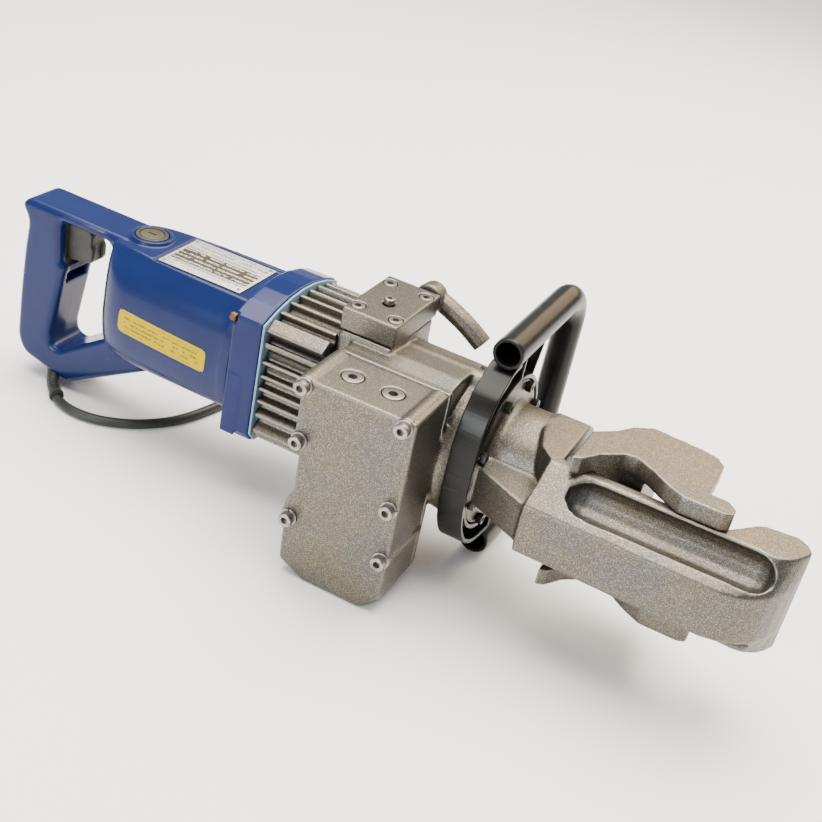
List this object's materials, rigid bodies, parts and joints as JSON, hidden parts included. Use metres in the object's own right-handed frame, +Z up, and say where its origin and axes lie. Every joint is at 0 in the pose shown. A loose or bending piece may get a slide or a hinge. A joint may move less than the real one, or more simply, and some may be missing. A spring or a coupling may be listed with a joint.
{
  "type": "portable electro-hydraulic rebar bender",
  "caption": "Portable electro-hydraulic rebar bender: D-handle motor, finned pump case, side oil case, hooked head and a ram-driven pushing jaw, with its mains cord.",
  "frame": {"origin": "on the ground, under the middle of the tool's bounding box, without the free cord", "axes": "+X along the ram towards the hook, +Y towards the front handle's tube, +Z up"},
  "size_m": [0.6044, 0.2932, 0.186],
  "materials": {
    "housing_blue": "glossy moulded nylon, blue",
    "collar_blue": "glossy moulded nylon, darker blue",
    "cast_aluminium": "silver hammertone paint on a die casting",
    "cast_steel": "silver hammertone paint on a steel casting",
    "black_enamel": "gloss black enamel",
    "black_plastic": "moulded black plastic",
    "black_rubber": "soft black rubber",
    "bright_steel": "ground steel",
    "zinc_screw": "zinc-plated steel",
    "black_screw": "black oxide steel",
    "brass": "drawn brass",
    "carbon": "pressed carbon",
    "gasket": "pale blue gasket sheet",
    "label_yellow": "printed vinyl label",
    "nameplate_silver": "etched aluminium plate"
  },
  "bodies": {
    "tool_body": {"handle_shell_left": "housing_blue", "handle_shell_right": "housing_blue", "motor_collar": "collar_blue", "collar_gasket": "gasket", "pump_case": "cast_aluminium", "reservoir_case": "cast_aluminium", "cylinder_body": "cast_steel", "valve_block": "cast_steel", "jaw_frame": "cast_steel", "stator": "cast_steel", "handle_band": "black_enamel", "handle_tube": "black_enamel", "brush_cap_top": "black_plastic", "brush_cap_bottom": "black_plastic", "switch_body": "black_plastic", "cord_gland": "black_rubber", "power_cord": "black_rubber", "cord_coil": "black_rubber", "plug": "black_rubber", "oil_bladder": "black_rubber", "rear_bearing": "bright_steel", "front_bearing": "bright_steel", "case_screw_1": "zinc_screw", "case_screw_2": "zinc_screw", "case_screw_3": "zinc_screw", "case_screw_4": "zinc_screw", "case_screw_5": "zinc_screw", "case_screw_6": "zinc_screw", "oil_plug_1": "zinc_screw", "oil_plug_2": "zinc_screw", "relief_screw": "zinc_screw", "return_spring": "zinc_screw", "pump_spring": "zinc_screw", "block_screw_1": "black_screw", "block_screw_2": "black_screw", "block_screw_3": "black_screw", "block_screw_4": "black_screw", "flange_bolt_1": "black_screw", "flange_bolt_2": "black_screw", "flange_bolt_3": "black_screw", "flange_bolt_4": "black_screw", "flange_bolt_5": "black_screw", "flange_bolt_6": "black_screw", "brush_holder_top": "brass", "brush_holder_bottom": "brass", "carbon_brush_top": "carbon", "carbon_brush_bottom": "carbon", "rating_label": "label_yellow", "nameplate": "nameplate_silver"},
    "ram": {"ram": "bright_steel", "piston_seal": "black_rubber", "moving_jaw": "cast_steel"},
    "trigger": {"trigger": "black_plastic"},
    "armature": {"armature": "bright_steel", "fan": "black_plastic"},
    "drive_gear": {"drive_gear": "bright_steel"},
    "pump_piston": {"pump_piston": "bright_steel"},
    "release_lever": {"release_lever": "cast_steel", "release_spindle": "bright_steel"}
  },
  "joints": [
    {"name": "ram_slide", "type": "slide", "parent": "tool_body", "child": "ram", "axis": [1, 0, 0], "range_m": [0, 0.055], "deforming": ["return_spring"]},
    {"name": "trigger_squeeze", "type": "slide", "parent": "tool_body", "child": "trigger", "axis": [-1, 0, 0], "range_m": [0, 0.005], "stiffness_N_per_m": 400},
    {"name": "armature_spin", "type": "hinge", "parent": "tool_body", "child": "armature", "pos_m": [-0.14125, -0.00689, 0.0935], "axis": [1, 0, 0], "continuous": true},
    {"name": "drive_gear_spin", "type": "hinge", "parent": "tool_body", "child": "drive_gear", "pos_m": [-0.0635, 0.01186, 0.0935], "axis": [1, 0, 0], "continuous": true},
    {"name": "pump_piston_slide", "type": "slide", "parent": "tool_body", "child": "pump_piston", "axis": [0, -1, 0], "range_m": [0, 0.006], "stiffness_N_per_m": 500, "deforming": ["pump_spring"]},
    {"name": "release_lever_turn", "type": "hinge", "parent": "tool_body", "child": "release_lever", "pos_m": [0.00575, 0.03311, 0.1621], "axis": [0, 1, 0], "range_deg": [-75, 0]}
  ],
  "couplings": [
    {"joint": "drive_gear_spin", "follows": "armature_spin", "ratio": -0.5}
  ]
}
